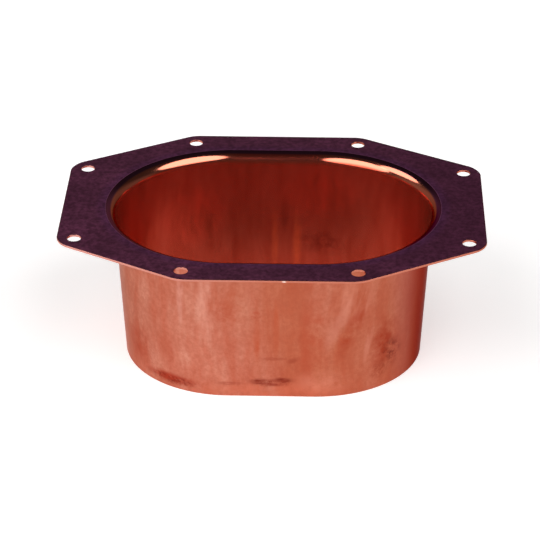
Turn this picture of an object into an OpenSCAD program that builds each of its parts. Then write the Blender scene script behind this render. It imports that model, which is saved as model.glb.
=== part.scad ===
// Oval gutter outlet, deep-drawn in one piece from thin copper sheet.
// A flat eight-sided flange with a punched hole at each corner turns down
// through a rounded lip into an oval neck that tapers to a trimmed foot.
// The outlet stands on its foot: +Z is up, +X runs along the oval.
// The origin is the middle of the foot, on the surface that it stands on.

/* [Sheet] */
// Thickness of the copper sheet
sheet_t = 0.7; // [0.5:0.1:1]

/* [Neck] */
// Height from the foot to the top of the flange
outlet_h = 50; // [40:1:75]
// Length of the oval neck at its foot, outside
neck_length = 95.5; // [90:0.5:110]
// Width of the oval neck at its foot, outside
neck_width = 68.6; // [60:0.2:76]
// Angle by which the neck's wall leans out from the foot to the lip
neck_draft = 3.3; // [1:0.1:5]
// Radius of the rounded lip, on its upper side
lip_r = 4; // [2:0.25:5]

/* [Flange] */
// Width of the flange from the mouth to its end edge
end_rim = 16.8; // [15:0.1:22]
// Width of the flange from the mouth to its side edge
side_rim = 13.9; // [12:0.1:20]
// How far each cut corner reaches along the flange's length
corner_cut_length = 38.7; // [34:0.1:40]
// How far each cut corner reaches along the flange's width
corner_cut_width = 22.8; // [18:0.1:24]
// Radius that rounds each of the flange's eight corners
corner_r = 7.5; // [4:0.5:10]

/* [Holes] */
// Diameter of the punched fixing holes
hole_d = 4.3; // [3:0.1:5]
// Distance from the middle of a hole to the straight edge beside it
hole_margin = 5.5; // [4:0.1:6]
// How far a hole beside an end edge lies in from the corner
end_hole_inset = 3; // [2:0.25:6]
// How far a hole beside a side edge lies in from the corner
side_hole_inset = 1; // [0.5:0.1:6]

/* [Hidden] */
$fn = 180;

// The oval is two half circles joined by straight sides.
// Each section is drawn as distance from the oval's middle line and height.
straight_half = (neck_length - neck_width) / 2;
foot_r = neck_width / 2;
lip_inner_r = lip_r - sheet_t;
bend_z = outlet_h - lip_r;
bend_foot_z = bend_z + lip_inner_r * sin(neck_draft);
bend_r = foot_r + bend_foot_z * tan(neck_draft) + lip_inner_r * cos(neck_draft);
mouth_r = bend_r - lip_r;
wall_across = sheet_t / cos(neck_draft);

// The flange's outline: its half sizes, and where its straight edges end.
flange_x = straight_half + mouth_r + end_rim;
flange_y = mouth_r + side_rim;
side_edge_x = flange_x - corner_cut_length;
end_edge_y = flange_y - corner_cut_width;
flange_corners = [
    [flange_x, end_edge_y],
    [side_edge_x, flange_y],
    [-side_edge_x, flange_y],
    [-flange_x, end_edge_y],
    [-flange_x, -end_edge_y],
    [-side_edge_x, -flange_y],
    [side_edge_x, -flange_y],
    [flange_x, -end_edge_y]
];

// One hole of each kind, in the quarter where x and y are positive.
end_hole = [flange_x - hole_margin, end_edge_y - end_hole_inset];
side_hole = [side_edge_x - side_hole_inset, flange_y - hole_margin];

// Extra length that takes a cutter clear of the sheet.
clear = 1;

// How far a straight edge runs into a rounding, and the neck into the flange,
// so that they overlap.
lap = 0.001;

function unit(v) = v / norm(v);

// The point at a distance from corner i, along the edge towards corner j.
function on_edge(corners, i, j, distance) =
    corners[i] + distance * unit(corners[j] - corners[i]);

// Half of the angle between the two edges that meet at corner i.
function half_angle(corners, i, before, after) =
    acos(unit(corners[before] - corners[i]) * unit(corners[after] - corners[i])) / 2;

// An outline with its corners rounded: straight between the points where
// the roundings start, with a full circle at each corner.
module rounded_outline(corners, r) {
    n = len(corners);
    before = [for (i = [0 : n - 1]) (i + n - 1) % n];
    after = [for (i = [0 : n - 1]) (i + 1) % n];
    half = [for (i = [0 : n - 1]) half_angle(corners, i, before[i], after[i])];
    starts = [for (i = [0 : n - 1]) on_edge(corners, i, before[i], r / tan(half[i]))];
    ends = [for (i = [0 : n - 1]) on_edge(corners, i, after[i], r / tan(half[i]))];
    inward = [for (i = [0 : n - 1]) unit((starts[i] + ends[i]) / 2 - corners[i])];
    centres = [for (i = [0 : n - 1]) corners[i] + inward[i] * r / sin(half[i])];
    polygon([for (i = [0 : n - 1], p = [starts[i], ends[i]]) p + lap * unit(centres[i] - p)]);
    for (i = [0 : n - 1]) translate(centres[i]) circle(r);
}

// The oval whose edge lies at distance r from the middle line.
module oval(r) {
    square([2 * straight_half, 2 * r], center = true);
    for (x = [-straight_half, straight_half]) translate([x, 0]) circle(r);
}

// Section of all that lies behind one face of the sheet: the lip's rounding
// and the leaning wall below it, out to where the flange starts.
module behind_face(r, foot_x) {
    lean = [-cos(neck_draft), sin(neck_draft)];
    translate([bend_r, bend_z]) {
        intersection() {
            circle(r);
            translate([-r, -r]) square([r, 2 * r]);
        }
        polygon([[foot_x - bend_r, -bend_z], (r - lap) * lean, [0, 0], [0, -bend_z]]);
        translate([0, -bend_z]) square([lap, bend_z + r]);
    }
}

// Section of the sheet, between its two faces.
module neck_section() {
    difference() {
        behind_face(lip_r, foot_r - wall_across);
        behind_face(lip_inner_r, foot_r);
    }
}

// The neck: the section turned round both ends and drawn along both sides.
module neck() {
    for (side = [0, 180]) rotate([0, 0, side]) {
        translate([straight_half, 0, 0])
            rotate([0, 0, -90]) rotate_extrude(angle = 180) neck_section();
        translate([-straight_half, 0, 0])
            rotate([90, 0, 90]) linear_extrude(2 * straight_half) neck_section();
    }
}

module flange() {
    translate([0, 0, outlet_h - sheet_t]) linear_extrude(sheet_t) difference() {
        rounded_outline(flange_corners, corner_r);
        oval(bend_r);
    }
}

module hole_cutters() {
    for (place = [end_hole, side_hole], x = [-1, 1], y = [-1, 1])
        translate([x * place[0], y * place[1], outlet_h - sheet_t - clear])
            cylinder(h = sheet_t + 2 * clear, d = hole_d);
}

module outlet() {
    color([0.77, 0.42, 0.34]) difference() {
        union() {
            flange();
            neck();
        }
        hole_cutters();
    }
}

outlet();
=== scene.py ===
from math import asin, cos, hypot, pi, radians, sin, tan

import bmesh
import bpy
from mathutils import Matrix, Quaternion, Vector


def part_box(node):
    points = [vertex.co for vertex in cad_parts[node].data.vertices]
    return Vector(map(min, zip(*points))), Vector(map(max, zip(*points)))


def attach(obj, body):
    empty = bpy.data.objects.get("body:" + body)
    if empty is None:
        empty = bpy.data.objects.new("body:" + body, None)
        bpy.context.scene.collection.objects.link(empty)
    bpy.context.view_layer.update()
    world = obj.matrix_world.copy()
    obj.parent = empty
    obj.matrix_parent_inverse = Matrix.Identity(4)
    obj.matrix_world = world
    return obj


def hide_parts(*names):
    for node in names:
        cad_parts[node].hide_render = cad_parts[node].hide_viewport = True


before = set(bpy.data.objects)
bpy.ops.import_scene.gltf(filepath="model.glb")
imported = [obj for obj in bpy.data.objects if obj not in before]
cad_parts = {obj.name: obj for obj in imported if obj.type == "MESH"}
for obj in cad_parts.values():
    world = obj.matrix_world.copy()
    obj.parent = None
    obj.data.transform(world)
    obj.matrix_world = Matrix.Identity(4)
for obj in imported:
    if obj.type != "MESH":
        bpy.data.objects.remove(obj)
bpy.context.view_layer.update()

# The outlet: one blank of 0.7 mm copper sheet, deep-drawn into an oval cup
# with a rounded lip. A die then trims the flange to eight sides, punches
# the rivet holes and cuts the bottom out of the cup.
mm = 0.001
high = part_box("outlet")[1]
sheet = 0.7 * mm
lip_radius = 4 * mm
draft = radians(3.3)
neck_length = 95.5 * mm
neck_width = 68.6 * mm
top = high.z
straight_half = (neck_length - neck_width) / 2
inner_lip = lip_radius - sheet
bend_height = top - lip_radius
bend_foot = bend_height + inner_lip * sin(draft)
bend_radius = neck_width / 2 + bend_foot * tan(draft) + inner_lip * cos(draft)

# The blank is drawn as a round cup first, ring by ring from the lip outwards
# and then down the wall, and is pulled apart into an oval afterwards.
around = 192
flange_rings = [44 * mm, 49 * mm, 55 * mm, 63 * mm]
lip_steps = 14
wall_steps = 16
bend_turn = pi / 2 - draft


def pick(test):
    """Selects the vertices that pass a test, and the edges between them."""
    shape = bmesh.from_edit_mesh(bpy.context.object.data)
    for vertex in shape.verts:
        vertex.select = test(vertex.co)
    shape.select_flush_mode()
    bmesh.update_edit_mesh(bpy.context.object.data)


def pull_ring(before, after, drop):
    """Extrudes the selected ring and gives the new ring its radius and height."""
    bpy.ops.mesh.extrude_edges_move(TRANSFORM_OT_translate={"value": (0, 0, -drop)})
    factor = after / before
    bpy.ops.transform.resize(value=(factor, factor, 1), center_override=(0, 0, 0))


bpy.ops.object.select_all(action="DESELECT")
bpy.ops.mesh.primitive_circle_add(
    vertices=around, radius=bend_radius, location=(0, 0, top),
    rotation=(0, 0, pi / around), fill_type="NOTHING")
outlet = bpy.context.object
outlet.name = "copper_outlet"
bpy.ops.object.transform_apply(location=True, rotation=True, scale=True)
bpy.ops.object.mode_set(mode="EDIT")
bpy.ops.mesh.select_mode(type="VERT")
bpy.ops.mesh.select_all(action="SELECT")
radius = bend_radius
for ring in flange_rings:
    pull_ring(radius, ring, 0)
    radius = ring

first_ring = bend_radius + 0.5 * mm
pick(lambda co: hypot(co.x, co.y) < first_ring)
radius = bend_radius
height = top
for step in range(1, lip_steps + 1):
    turn = bend_turn * step / lip_steps
    next_radius = bend_radius - lip_radius * sin(turn)
    next_height = bend_height + lip_radius * cos(turn)
    pull_ring(radius, next_radius, height - next_height)
    radius, height = next_radius, next_height
foot_overrun = 1 * mm
wall_step = (height + foot_overrun) / wall_steps
for step in range(wall_steps):
    next_radius = radius - wall_step * tan(draft)
    pull_ring(radius, next_radius, wall_step)
    radius = next_radius

for side in (-1, 1):
    pick(lambda co: co.x * side > 0)
    bpy.ops.transform.translate(value=(side * straight_half, 0, 0))
side_cuts = 11
bpy.ops.mesh.select_mode(type="EDGE")
shape = bmesh.from_edit_mesh(outlet.data)
for edge in shape.edges:
    edge.select_set(edge.verts[0].co.x * edge.verts[1].co.x < 0)
bmesh.update_edit_mesh(outlet.data)
bpy.ops.mesh.subdivide(number_cuts=side_cuts)
bpy.ops.mesh.select_all(action="SELECT")
bpy.ops.mesh.normals_make_consistent(inside=False)
shape = bmesh.from_edit_mesh(outlet.data)
shape.faces.ensure_lookup_table()
if max(shape.faces, key=lambda face: face.calc_center_median().z).normal.z < 0:
    bpy.ops.mesh.flip_normals()
bpy.ops.object.mode_set(mode="OBJECT")


def finish_with(kind, **settings):
    """Adds a modifier to the active piece and applies it."""
    bpy.ops.object.modifier_add(type=kind)
    modifier = bpy.context.object.modifiers[-1]
    for name, value in settings.items():
        setattr(modifier, name, value)
    bpy.ops.object.modifier_apply(modifier=modifier.name)


finish_with("SOLIDIFY", thickness=sheet, offset=-1, use_even_offset=True)

# The die that trims the flange: a block with cut corners and rounded edges.
# Its floor trims the foot.
flange_x, flange_y = high.x, high.y
cut_x = 38.7 * mm
cut_y = 22.8 * mm
corner_radius = 7.5 * mm
corner_steps = 8
die_height = 70 * mm
hair = 0.001 * mm
bpy.ops.mesh.primitive_cube_add(size=1, location=(0, 0, die_height / 2))
die = bpy.context.object
die.scale = (2 * flange_x, 2 * flange_y, die_height)
bpy.ops.object.transform_apply(location=True, rotation=True, scale=True)
bpy.ops.object.mode_set(mode="EDIT")
for side_x in (-1, 1):
    for side_y in (-1, 1):
        bpy.ops.mesh.select_all(action="SELECT")
        bpy.ops.mesh.bisect(
            plane_co=(side_x * flange_x, side_y * (flange_y - cut_y), 0),
            plane_no=(side_x * cut_y, side_y * cut_x, 0),
            use_fill=True, clear_outer=True)
cut_turn = asin(cut_x / hypot(cut_x, cut_y))
bpy.ops.mesh.select_mode(type="EDGE")
for axis, edge_at, turn in ((0, flange_x, cut_turn), (1, flange_y, pi / 2 - cut_turn)):
    shape = bmesh.from_edit_mesh(die.data)
    for edge in shape.edges:
        a, b = edge.verts[0].co, edge.verts[1].co
        standing = hypot(a.x - b.x, a.y - b.y) < hair
        edge.select_set(standing and abs(abs(a[axis]) - edge_at) < hair)
    bmesh.update_edit_mesh(die.data)
    bpy.ops.mesh.bevel(
        offset=corner_radius * tan(turn / 2), segments=corner_steps,
        profile=0.5, affect="EDGES")
bpy.ops.object.mode_set(mode="OBJECT")

# The punches for the eight rivet holes.
hole_radius = 2.15 * mm
hole_margin = 5.5 * mm
end_inset = 3 * mm
side_inset = 1 * mm
hole_steps = 48
punch_length = 6 * sheet
end_hole = (flange_x - hole_margin, flange_y - cut_y - end_inset)
side_hole = (flange_x - cut_x - side_inset, flange_y - hole_margin)
bpy.ops.object.select_all(action="DESELECT")
punches = []
for x, y in (end_hole, side_hole):
    for side_x in (-1, 1):
        for side_y in (-1, 1):
            bpy.ops.mesh.primitive_cylinder_add(
                vertices=hole_steps, radius=hole_radius, depth=punch_length,
                location=(side_x * x, side_y * y, top))
            punches.append(bpy.context.object)
for punch in punches:
    punch.select_set(True)
bpy.ops.object.join()
punches = bpy.context.object

bpy.ops.object.select_all(action="DESELECT")
outlet.select_set(True)
bpy.context.view_layer.objects.active = outlet
finish_with("BOOLEAN", operation="INTERSECT", solver="EXACT", object=die)
finish_with("BOOLEAN", operation="DIFFERENCE", solver="EXACT", object=punches)
bpy.data.objects.remove(die)
bpy.data.objects.remove(punches)

# The cut edges are eased, as after tumbling.
edge_round = 0.1 * mm
edge_steps = 3
sharp = radians(40)
finish_with(
    "BEVEL", width=edge_round, segments=edge_steps, limit_method="ANGLE",
    angle_limit=sharp, use_clamp_overlap=False)
bpy.ops.object.shade_smooth_by_angle(angle=sharp)
finish_with("WEIGHTED_NORMAL", mode="FACE_AREA_WITH_ANGLE", weight=100, keep_sharp=True)


def linear(code):
    """The linear colour of an sRGB hex code such as #cc7058."""
    parts = [int(code[i:i + 2], 16) / 255 for i in (1, 3, 5)]
    shades = [p / 12.92 if p <= 0.04045 else ((p + 0.055) / 1.055) ** 2.4 for p in parts]
    return (*shades, 1)


def add_node(tree, kind, values=None, links=None, **settings):
    """Adds a node with its settings, its fixed inputs and its links."""
    node = tree.nodes.new(kind)
    for name, value in settings.items():
        setattr(node, name, value)
    for socket, value in (values or {}).items():
        node.inputs[socket].default_value = value
    for socket, source in (links or {}).items():
        tree.links.new(source, node.inputs[socket])
    return node


# Copper sheet with a drawn finish: the punch and the die burnish the inside
# and the lip, and the outside is satin and streaked along the draw. The flange's
# upper face is painted dark purple, a painted dark reflection.
copper = bpy.data.materials.new("drawn_copper")
copper.use_nodes = True
tree = copper.node_tree
tree.nodes.clear()
place = add_node(tree, "ShaderNodeTexCoord").outputs["Object"]
normal = add_node(tree, "ShaderNodeNewGeometry").outputs["Normal"]

# The cosine of a face's slope: 0.985 leans 10 degrees from level, 0.5 leans 60
# and 0 is upright.
upward = add_node(tree, "ShaderNodeSeparateXYZ", links={"Vector": normal}).outputs["Z"]

# Streaks of 4 mm and bands of 12 mm run along the draw and wander a little.
wander = add_node(
    tree, "ShaderNodeTexNoise", {"Scale": 1 / (24 * mm), "Detail": 1},
    {"Vector": place}).outputs["Color"]
drift = 7 * mm
drawn = add_node(
    tree, "ShaderNodeVectorMath", {1: (drift, drift, 0)}, {0: wander, 2: place},
    operation="MULTIPLY_ADD").outputs["Vector"]
drawn = add_node(
    tree, "ShaderNodeMapping", {"Scale": (1, 1, 0.2)}, {"Vector": drawn}).outputs["Vector"]
streaks = add_node(
    tree, "ShaderNodeTexNoise", {"Scale": 1 / (4 * mm), "Detail": 3, "Roughness": 0.6},
    {"Vector": drawn}).outputs["Fac"]
streaks = add_node(
    tree, "ShaderNodeMapRange",
    {"From Min": 0.33, "From Max": 0.67}, {"Value": streaks}).outputs["Result"]
bands = add_node(
    tree, "ShaderNodeTexNoise",
    {"Scale": 1 / (12 * mm), "Detail": 1}, {"Vector": drawn}).outputs["Fac"]
bands = add_node(
    tree, "ShaderNodeMapRange", {"From Min": 0.36, "From Max": 0.64, "To Max": 0.6},
    {"Value": bands}).outputs["Result"]
across = add_node(tree, "ShaderNodeSeparateXYZ", links={"Vector": place}).outputs["X"]
along = add_node(
    tree, "ShaderNodeMapRange",
    {"From Min": -18 * mm, "From Max": 6 * mm, "To Min": -0.2, "To Max": 0.35},
    {"Value": across}).outputs["Result"]
bands = add_node(
    tree, "ShaderNodeMath", {}, {0: bands, 1: along},
    operation="ADD", use_clamp=True).outputs["Value"]
salmon = add_node(
    tree, "ShaderNodeMix", {"A": linear("#bb6953"), "B": linear("#c8846f")},
    {"Factor": streaks}, data_type="RGBA").outputs["Result"]
orange = add_node(
    tree, "ShaderNodeMix", {"A": linear("#b05a40"), "B": linear("#ba6c50")},
    {"Factor": streaks}, data_type="RGBA").outputs["Result"]
satin = add_node(
    tree, "ShaderNodeMix", {}, {"Factor": bands, "A": salmon, "B": orange},
    data_type="RGBA").outputs["Result"]

# Blotches of 12 mm, and a grain of 1.4 mm that is drawn coarser than the real one.
blotches = add_node(
    tree, "ShaderNodeTexNoise", {"Scale": 1 / (12 * mm), "Detail": 3, "Roughness": 0.6},
    {"Vector": place}).outputs["Fac"]
blotches = add_node(
    tree, "ShaderNodeMapRange",
    {"From Min": 0.38, "From Max": 0.65, "To Max": 0.4}, {"Value": blotches}).outputs["Result"]
satin = add_node(
    tree, "ShaderNodeMix", {"B": linear("#ab5139")}, {"Factor": blotches, "A": satin},
    data_type="RGBA").outputs["Result"]
grain = add_node(
    tree, "ShaderNodeTexNoise", {"Scale": 1 / (1.4 * mm), "Detail": 2, "Roughness": 0.7},
    {"Vector": place}).outputs["Fac"]
grain = add_node(
    tree, "ShaderNodeMapRange",
    {"From Min": 0.35, "From Max": 0.65, "To Max": 0.4}, {"Value": grain}).outputs["Result"]
satin = add_node(
    tree, "ShaderNodeMix", {"B": linear("#a1503a")}, {"Factor": grain, "A": satin},
    data_type="RGBA").outputs["Result"]

# Inside, the copper is painted a deeper red, painted shade and reddening that stand in for the
# light bouncing inside the cup.
red = add_node(
    tree, "ShaderNodeMix", {"A": linear("#bd4530"), "B": linear("#ce543e")},
    {"Factor": streaks}, data_type="RGBA").outputs["Result"]

# The cut edges of the flange and its holes are bright and bare.
cut_side = add_node(
    tree, "ShaderNodeMapRange",
    {"From Min": -60 * mm, "From Max": 0}, {"Value": across}).outputs["Result"]
edge = add_node(
    tree, "ShaderNodeMix", {"A": linear("#d29085"), "B": linear("#c2745f")},
    {"Factor": cut_side}, data_type="RGBA").outputs["Result"]

# Marks: dark scuffs where the neck was set down and handled, in dashes and specks,
# soft stains and rubbed streaks on the wall, and painted light: a pale band of bounce
# light along the foot and a glint on a nick in the flange's edge. Each has its layer,
# pattern, middle and reach in mm, tilt in degrees, strength and colour.
dashes = add_node(
    tree, "ShaderNodeMapping", {"Scale": (0.25, 0.25, 1)}, {"Vector": place}).outputs["Vector"]
dashes = add_node(
    tree, "ShaderNodeTexNoise", {"Scale": 1 / (1.6 * mm), "Detail": 4, "Roughness": 0.65},
    {"Vector": dashes}).outputs["Fac"]
dashes = add_node(
    tree, "ShaderNodeMapRange",
    {"From Min": 0.3, "From Max": 0.55}, {"Value": dashes}).outputs["Result"]
specks = add_node(
    tree, "ShaderNodeTexNoise", {"Scale": 1 / (2.2 * mm), "Detail": 4, "Roughness": 0.75},
    {"Vector": place}).outputs["Fac"]
specks = add_node(
    tree, "ShaderNodeMapRange",
    {"From Min": 0.42, "From Max": 0.6}, {"Value": specks}).outputs["Result"]
patchy_noise = add_node(
    tree, "ShaderNodeTexNoise", {"Scale": 1 / (6 * mm), "Detail": 4, "Roughness": 0.65},
    {"Vector": place}).outputs["Fac"]
patchy_noise = add_node(
    tree, "ShaderNodeMapRange",
    {"From Min": 0.36, "From Max": 0.6, "To Min": 0.15}, {"Value": patchy_noise}).outputs["Result"]
marks_and_painted_light = (
    ("outside", streaks, (-4.2, -35.5, 21), (1.6, 8, 12), 0, 0.9, "#b04a2c"),
    ("outside", streaks, (1.7, -35.5, 25), (1.6, 8, 14), 0, 0.8, "#b04c30"),
    ("outside", specks, (-4.5, -35.5, 30), (3, 8, 2.2), 0, 0.7, "#a84630"),
    ("outside", specks, (-14, -35.5, 31), (6, 8, 5), 0, 0.5, "#a84a34"),
    ("outside", patchy_noise, (13, -35, 22), (6, 8, 19), 6, 0.6, "#ad4b33"),
    ("outside", patchy_noise, (21.4, -35, 27), (3.4, 8, 15), 23, 0.4, "#cb8672"),
    ("outside", patchy_noise, (25.4, -34, 24), (3.6, 8, 15), 23, 0.9, "#a2422b"),
    ("outside", patchy_noise, (35.5, -27, 16), (7.5, 10, 13), 0, 1, "#9c3d28"),
    ("outside", streaks, (30.5, -31, 18), (1.4, 8, 9), 10, 0.5, "#d8907a"),
    ("outside", streaks, (-20, -35.5, 32), (4, 8, 18), 0, 0.5, "#dfa08d"),
    ("outside", streaks, (-28, -33, 36), (1.5, 8, 14), 0, 0.5, "#e0a596"),
    ("outside", streaks, (-31.5, -30, 12), (1.6, 8, 10), 0, 0.7, "#a84a34"),
    ("outside", patchy_noise, (-42, -19, 11), (8, 10, 11), 0, 0.7, "#ab4832"),
    # Painted light: a paler band along the foot stands in for light bounced up from the floor.
    ("outside", patchy_noise, (0, -35, 1), (34, 9, 6), 0, 0.6, "#cb6f54"),
    ("outside", patchy_noise, (17, -34.5, 5.5), (12, 8, 6), 0, 0.45, "#d98c74"),
    ("outside", streaks, (26, -33, 35), (8, 8, 12), 0, 0.5, "#d98e78"),
    ("outside", patchy_noise, (-11.5, -35.5, 33), (5, 8, 12), 0, 0.6, "#b0543a"),
    ("outside", dashes, (-3.6, -34.5, 5.4), (4.4, 8, 1.6), 0, 1, "#7c2e22"),
    ("outside", dashes, (4.2, -34.5, 6.1), (4.8, 8, 1.4), 0, 1, "#7c2e22"),
    ("outside", dashes, (0.5, -34.5, 4.3), (5, 8, 1), 0, 0.8, "#8a382a"),
    ("outside", dashes, (-12.5, -34.5, 4.6), (6, 8, 1), 0, 0.5, "#8a382a"),
    ("outside", specks, (0.6, -34.5, 5), (9, 8, 2), 0, 0.8, "#8a3626"),
    ("outside", dashes, (0.8, -35, 14), (6, 8, 0.9), 0, 0.55, "#94402e"),
    ("outside", dashes, (6.8, -35, 13.4), (3, 8, 1.4), -20, 0.6, "#94402e"),
    ("outside", dashes, (-32, -29, 3.4), (13, 12, 2.6), 0, 1, "#a03a28"),
    ("outside", specks, (-31, -29, 3), (13, 12, 2.2), 0, 0.9, "#7a2a1e"),
    ("outside", specks, (37.6, -25, 12), (5, 9, 7), 0, 1, "#7a3022"),
    ("outside", specks, (34, -28.5, 6.5), (4, 9, 4), 0, 0.8, "#8e3c2a"),
    ("outside", specks, (-41, -20, 10), (8, 12, 8), 0, 0.4, "#9a4230"),
    ("inside", streaks, (-27, 32, 29), (14, 14, 14), 0, 0.9, "#f4523a"),
    ("inside", streaks, (15, 34, 37), (16, 12, 12), 0, 0.8, "#f4523a"),
    ("inside", streaks, (-0.6, 35, 19), (1.8, 8, 15), 0, 1, "#f0623c"),
    ("inside", streaks, (6.8, 35, 18), (2.2, 8, 15), 0, 1, "#f0623c"),
    ("inside", streaks, (2.8, 35.5, 28), (2, 8, 8), 0, 0.8, "#8a2c20"),
    ("inside", specks, (15, 35, 19), (11, 8, 6), 0, 0.6, "#8a2c20"),
    # Painted highlight: a glint drawn as a light spot where a nick in the flange's edge
    # catches the light.
    ("edge", patchy_noise, (4.5, -50.2, 49.6), (0.9, 1, 0.6), 0, 1, "#ffe4d8"),
)
layers = {"outside": satin, "inside": red, "edge": edge}
for layer, mask, middle, reach, tilt, strength, code in marks_and_painted_light:
    near = add_node(
        tree, "ShaderNodeMapping",
        {"Location": Vector(middle) * mm, "Rotation": (0, radians(tilt), 0),
         "Scale": Vector(reach) * mm},
        {"Vector": place}, vector_type="TEXTURE").outputs["Vector"]
    near = add_node(
        tree, "ShaderNodeVectorMath", {}, {0: near}, operation="LENGTH").outputs["Value"]
    near = add_node(
        tree, "ShaderNodeMapRange", {"From Min": 1, "From Max": 0.2, "To Max": strength},
        {"Value": near}, interpolation_type="SMOOTHSTEP").outputs["Result"]
    patch = add_node(
        tree, "ShaderNodeMath", {}, {0: near, 1: mask}, operation="MULTIPLY").outputs["Value"]
    layers[layer] = add_node(
        tree, "ShaderNodeMix", {"B": linear(code)}, {"Factor": patch, "A": layers[layer]},
        data_type="RGBA").outputs["Result"]
satin, red, edge = layers["outside"], layers["inside"], layers["edge"]

# One end of the neck is painted darker, as painted shade where that end reflects the darker
# side of the room.
end = add_node(
    tree, "ShaderNodeMapRange",
    {"From Min": 35 * mm, "From Max": 47 * mm, "To Max": 0.8}, {"Value": across},
    interpolation_type="SMOOTHSTEP").outputs["Result"]
satin = add_node(
    tree, "ShaderNodeMix", {"B": linear("#aa5a54")}, {"Factor": end, "A": satin},
    data_type="RGBA").outputs["Result"]

# The bare edges are the steep faces within the flange's thickness.
height = add_node(tree, "ShaderNodeSeparateXYZ", links={"Vector": place}).outputs["Z"]
cut = add_node(
    tree, "ShaderNodeMath", {1: top - sheet - 0.05 * mm}, {0: height},
    operation="GREATER_THAN").outputs["Value"]
steep = add_node(
    tree, "ShaderNodeMath", {}, {0: upward}, operation="ABSOLUTE").outputs["Value"]
steep = add_node(
    tree, "ShaderNodeMath", {1: 0.75}, {0: steep}, operation="LESS_THAN").outputs["Value"]
cut = add_node(
    tree, "ShaderNodeMath", {}, {0: cut, 1: steep}, operation="MULTIPLY").outputs["Value"]

# The lip is burnished brightest, where the sheet ran over the die. It is painted redder along
# its straight sides, as painted shade where they reflect only the dim room.
upright = add_node(
    tree, "ShaderNodeMapRange",
    {"From Min": 0.34, "From Max": 0.5}, {"Value": upward}).outputs["Result"]
from_middle = add_node(
    tree, "ShaderNodeMath", {}, {0: across}, operation="ABSOLUTE").outputs["Value"]
straight = add_node(
    tree, "ShaderNodeMapRange", {"From Min": 20 * mm, "From Max": 12 * mm},
    {"Value": from_middle}, interpolation_type="SMOOTHSTEP").outputs["Result"]
lip = add_node(
    tree, "ShaderNodeMix", {"A": linear("#ec8a70"), "B": linear("#ec6a56")},
    {"Factor": straight}, data_type="RGBA").outputs["Result"]
burnished = add_node(
    tree, "ShaderNodeMix", {}, {"Factor": upright, "A": red, "B": lip},
    data_type="RGBA").outputs["Result"]
inward = add_node(
    tree, "ShaderNodeVectorMath", {1: (1, 1, 0)}, {0: normal},
    operation="MULTIPLY").outputs["Vector"]
inward = add_node(
    tree, "ShaderNodeVectorMath", {}, {0: inward, 1: place},
    operation="DOT_PRODUCT").outputs["Value"]
inward = add_node(
    tree, "ShaderNodeMapRange", {"From Min": 0, "From Max": -0.005},
    {"Value": inward}).outputs["Result"]
bare = add_node(
    tree, "ShaderNodeMix", {}, {"Factor": inward, "A": satin, "B": burnished},
    data_type="RGBA").outputs["Result"]
bare = add_node(
    tree, "ShaderNodeMix", {}, {"Factor": cut, "A": bare, "B": edge},
    data_type="RGBA").outputs["Result"]

# The flange's upper face is painted a dark purple that stands in for the dark reflection
# there, a painted reflection, and it goes on over the lip's shoulder, where it is smooth and
# darkest.
painted_dark_top = add_node(
    tree, "ShaderNodeMapRange",
    {"From Min": 0.80, "From Max": 0.88}, {"Value": upward}).outputs["Result"]
flat = add_node(
    tree, "ShaderNodeMapRange",
    {"From Min": 0.985, "From Max": 0.996}, {"Value": upward}).outputs["Result"]
cloud = add_node(
    tree, "ShaderNodeMix", {"A": linear("#4c2539"), "B": linear("#723a57")},
    {"Factor": blotches}, data_type="RGBA").outputs["Result"]
# Painted shade: the flange's top is darker towards its right end.
flange_shade = add_node(
    tree, "ShaderNodeMapRange",
    {"From Min": -10 * mm, "From Max": 60 * mm, "To Max": 0.5},
    {"Value": across}).outputs["Result"]
cloud = add_node(
    tree, "ShaderNodeMix", {"B": linear("#3d1a2e")}, {"Factor": flange_shade, "A": cloud},
    data_type="RGBA").outputs["Result"]
# Painted reflection: a bluish purple ring on the flange, just outside the mouth's bend.
ring = add_node(
    tree, "ShaderNodeVectorMath", {}, {0: place}, operation="ABSOLUTE").outputs["Vector"]
ring = add_node(
    tree, "ShaderNodeVectorMath", {1: (straight_half, 0, top)}, {0: ring},
    operation="SUBTRACT").outputs["Vector"]
ring = add_node(
    tree, "ShaderNodeVectorMath", {1: (0, 0, 0)}, {0: ring},
    operation="MAXIMUM").outputs["Vector"]
ring = add_node(
    tree, "ShaderNodeVectorMath", {}, {0: ring}, operation="LENGTH").outputs["Value"]
ring = add_node(
    tree, "ShaderNodeMapRange",
    {"From Min": bend_radius + 3 * mm, "From Max": bend_radius, "To Max": 0.35},
    {"Value": ring}).outputs["Result"]
cloud = add_node(
    tree, "ShaderNodeMix", {"B": linear("#4a2650")}, {"Factor": ring, "A": cloud},
    data_type="RGBA").outputs["Result"]
mottle = add_node(
    tree, "ShaderNodeMapRange",
    {"From Max": 0.4, "To Max": 0.75}, {"Value": grain}).outputs["Result"]
mottle = add_node(
    tree, "ShaderNodeMix", {"B": linear("#2e1120")}, {"Factor": mottle, "A": cloud},
    data_type="RGBA").outputs["Result"]
dark = add_node(
    tree, "ShaderNodeMix", {"A": linear("#8a5572")},
    {"Factor": flat, "B": mottle}, data_type="RGBA").outputs["Result"]
colour = add_node(
    tree, "ShaderNodeMix", {}, {"Factor": painted_dark_top, "A": bare, "B": dark},
    data_type="RGBA").outputs["Result"]

# Bare copper is a metal, thinly filmed inside, and on the flat top the painted dark reflection
# hides it.
metal = add_node(
    tree, "ShaderNodeMapRange",
    {"To Min": 1, "To Max": 0.84}, {"Value": inward}).outputs["Result"]
metal = add_node(
    tree, "ShaderNodeMapRange", {"To Max": 1},
    {"Value": upright, "To Min": metal}).outputs["Result"]
metal = add_node(
    tree, "ShaderNodeMapRange", {"To Max": 0.1},
    {"Value": flat, "To Min": metal}).outputs["Result"]
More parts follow.
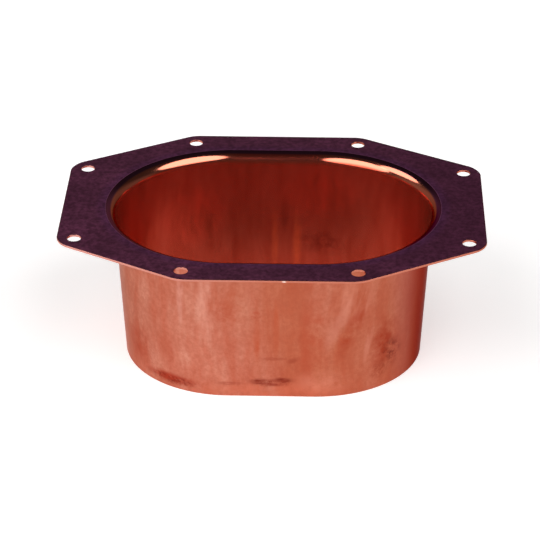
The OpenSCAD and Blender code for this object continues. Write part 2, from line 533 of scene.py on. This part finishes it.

# Satin outside, smoother inside, burnished on the lip and dull on the flat top's painted dark
# reflection.
polish = add_node(
    tree, "ShaderNodeMapRange",
    {"From Min": 0.10, "From Max": 0.30}, {"Value": upward}).outputs["Result"]
gloss = add_node(
    tree, "ShaderNodeMapRange",
    {"To Min": 0.34, "To Max": 0.24}, {"Value": inward}).outputs["Result"]
gloss = add_node(
    tree, "ShaderNodeMapRange", {"To Max": 0.12},
    {"Value": polish, "To Min": gloss}).outputs["Result"]
gloss = add_node(
    tree, "ShaderNodeMapRange", {"To Max": 0.5},
    {"Value": flat, "To Min": gloss}).outputs["Result"]
sheen = add_node(
    tree, "ShaderNodeMix", {"A": linear("#eacdc4"), "B": linear("#d8a898")},
    {"Factor": inward}, data_type="RGBA").outputs["Result"]
# Painted shade: the edge tint is dimmed at that end of the neck as well.
sheen = add_node(
    tree, "ShaderNodeMix", {"B": linear("#946460")}, {"Factor": end, "A": sheen},
    data_type="RGBA").outputs["Result"]
surface = add_node(
    tree, "ShaderNodeBsdfPrincipled", {"Specular IOR Level": 0.06},
    {"Base Color": colour, "Metallic": metal, "Roughness": gloss, "Specular Tint": sheen})
add_node(tree, "ShaderNodeOutputMaterial", links={"Surface": surface.outputs["BSDF"]})
outlet.data.materials.clear()
outlet.data.materials.append(copper)
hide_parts("outlet")
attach(outlet, "root")

# The floor: a plain pale table that runs out of sight on every side. It is
# lifted to white where it is seen, but not in the well inside the neck.
floor_size = 12
lifted = 0.4
bpy.ops.mesh.primitive_grid_add(
    x_subdivisions=2, y_subdivisions=2, size=floor_size, location=(0, 0, 0))
floor = bpy.context.object
floor.name = "floor"
white_table = bpy.data.materials.new("white_table")
white_table.use_nodes = True
tree = white_table.node_tree
tree.nodes.clear()
ray = add_node(tree, "ShaderNodeLightPath")
seen = add_node(
    tree, "ShaderNodeMath", {},
    {0: ray.outputs["Is Camera Ray"], 1: ray.outputs["Is Glossy Ray"]},
    operation="MAXIMUM").outputs["Value"]
seen = add_node(
    tree, "ShaderNodeMath", {}, {0: seen, 1: ray.outputs["Is Transmission Ray"]},
    operation="MAXIMUM").outputs["Value"]
spot = add_node(tree, "ShaderNodeTexCoord").outputs["Object"]
beside = add_node(
    tree, "ShaderNodeVectorMath", {}, {0: spot}, operation="ABSOLUTE").outputs["Vector"]
beside = add_node(
    tree, "ShaderNodeVectorMath", {1: (straight_half, 0, 0)}, {0: beside},
    operation="SUBTRACT").outputs["Vector"]
beside = add_node(
    tree, "ShaderNodeVectorMath", {1: (0, 0, 0)}, {0: beside},
    operation="MAXIMUM").outputs["Vector"]
beside = add_node(
    tree, "ShaderNodeVectorMath", {}, {0: beside}, operation="LENGTH").outputs["Value"]
beside = add_node(
    tree, "ShaderNodeMath", {1: neck_width / 2}, {0: beside},
    operation="GREATER_THAN").outputs["Value"]
lift = add_node(
    tree, "ShaderNodeMath", {}, {0: seen, 1: beside}, operation="MULTIPLY").outputs["Value"]
lift = add_node(
    tree, "ShaderNodeMath", {1: lifted}, {0: lift}, operation="MULTIPLY").outputs["Value"]
matt = add_node(tree, "ShaderNodeBsdfDiffuse", {"Color": linear("#f4f4f4")})
glow = add_node(tree, "ShaderNodeEmission", {"Color": (1, 1, 1, 1)}, {"Strength": lift})
both = add_node(
    tree, "ShaderNodeAddShader", {}, {0: matt.outputs["BSDF"], 1: glow.outputs["Emission"]})
add_node(tree, "ShaderNodeOutputMaterial", links={"Surface": both.outputs["Shader"]})
floor.data.materials.append(white_table)

# The light: three soft boxes in a dim room. A paler wall stands behind the
# outlet, half as bright on the right, with its top edge highest straight behind.
dim = 0.035
pale = 0.23
right_share = 0.5
wall_rise = 0.15
wall_full = sin(radians(12))
wall_end = sin(radians(29))
world = bpy.data.worlds.new("dim_room")
bpy.context.scene.world = world
world.use_nodes = True
tree = world.node_tree
tree.nodes.clear()
facing = add_node(tree, "ShaderNodeTexCoord").outputs["Generated"]
sky = add_node(tree, "ShaderNodeSeparateXYZ", links={"Vector": facing})
wall_top = add_node(
    tree, "ShaderNodeVectorMath", {1: (0, -wall_rise, 1)}, {0: facing},
    operation="DOT_PRODUCT").outputs["Value"]
low_down = add_node(
    tree, "ShaderNodeMapRange", {"From Min": wall_end, "From Max": wall_full},
    {"Value": wall_top}, interpolation_type="SMOOTHSTEP").outputs["Result"]
behind = add_node(
    tree, "ShaderNodeMapRange",
    {"From Min": -0.35, "From Max": 0.1}, {"Value": sky.outputs["Y"]},
    interpolation_type="SMOOTHSTEP").outputs["Result"]
pale_wall = add_node(
    tree, "ShaderNodeMath", {}, {0: low_down, 1: behind},
    operation="MULTIPLY").outputs["Value"]
leftward = add_node(
    tree, "ShaderNodeMapRange", {"From Min": 0.6, "From Max": 0.1, "To Min": right_share},
    {"Value": sky.outputs["X"]}).outputs["Result"]
pale_wall = add_node(
    tree, "ShaderNodeMath", {}, {0: pale_wall, 1: leftward},
    operation="MULTIPLY").outputs["Value"]
room = add_node(
    tree, "ShaderNodeMapRange", {"To Min": dim, "To Max": pale},
    {"Value": pale_wall}).outputs["Result"]
background = add_node(
    tree, "ShaderNodeBackground", {"Color": linear("#fff0e6")}, {"Strength": room})
add_node(tree, "ShaderNodeOutputWorld", links={"Surface": background.outputs["Background"]})


def soft_box(name, azimuth, elevation, width, height, tilt):
    """A lamp that faces the outlet. In degrees, azimuth 0 is in front and +X is 90."""
    turn, rise = radians(azimuth), radians(elevation)
    away = 2
    radiance = 2.48
    lamp = bpy.data.lights.new(name, "AREA")
    lamp.shape = "ELLIPSE"
    lamp.size = width
    lamp.size_y = height
    lamp.energy = radiance * pi * (pi / 4 * width * height)
    spot = Vector((sin(turn) * cos(rise), -cos(turn) * cos(rise), sin(rise))) * away
    holder = bpy.data.objects.new(name, lamp)
    holder.location = spot
    level = spot.to_track_quat("Z", "Y")
    holder.rotation_euler = (level @ Quaternion((0, 0, 1), radians(tilt))).to_euler()
    bpy.context.scene.collection.objects.link(holder)


soft_box("right_soft_box", 49.2, 46, 2.15, 1.95, -15)
soft_box("left_soft_box", -44, 34.5, 2.3, 2.05, 15)
soft_box("back_left_soft_box", -104, 43, 1.5, 0.95, 0)

# The camera: a long lens, a little to the right and 28 degrees above.
azimuth = radians(1.594)
elevation = radians(28.388)
distance = 823.2 * mm
aim = Vector((-0.82, -9.85, 31.83)) * mm
pixels_per_radian = 2600
picture = 540
back = Vector((sin(azimuth) * cos(elevation), -cos(azimuth) * cos(elevation), sin(elevation)))
camera = bpy.data.cameras.new("camera")
camera.sensor_width = 36
camera.lens = camera.sensor_width * pixels_per_radian / picture
camera.clip_start = 0.05
camera.clip_end = 50
viewer = bpy.data.objects.new("camera", camera)
viewer.location = aim + back * distance
viewer.rotation_euler = back.to_track_quat("Z", "Y").to_euler()
bpy.context.scene.collection.objects.link(viewer)
bpy.context.scene.camera = viewer
bpy.context.scene.view_settings.view_transform = "Standard"
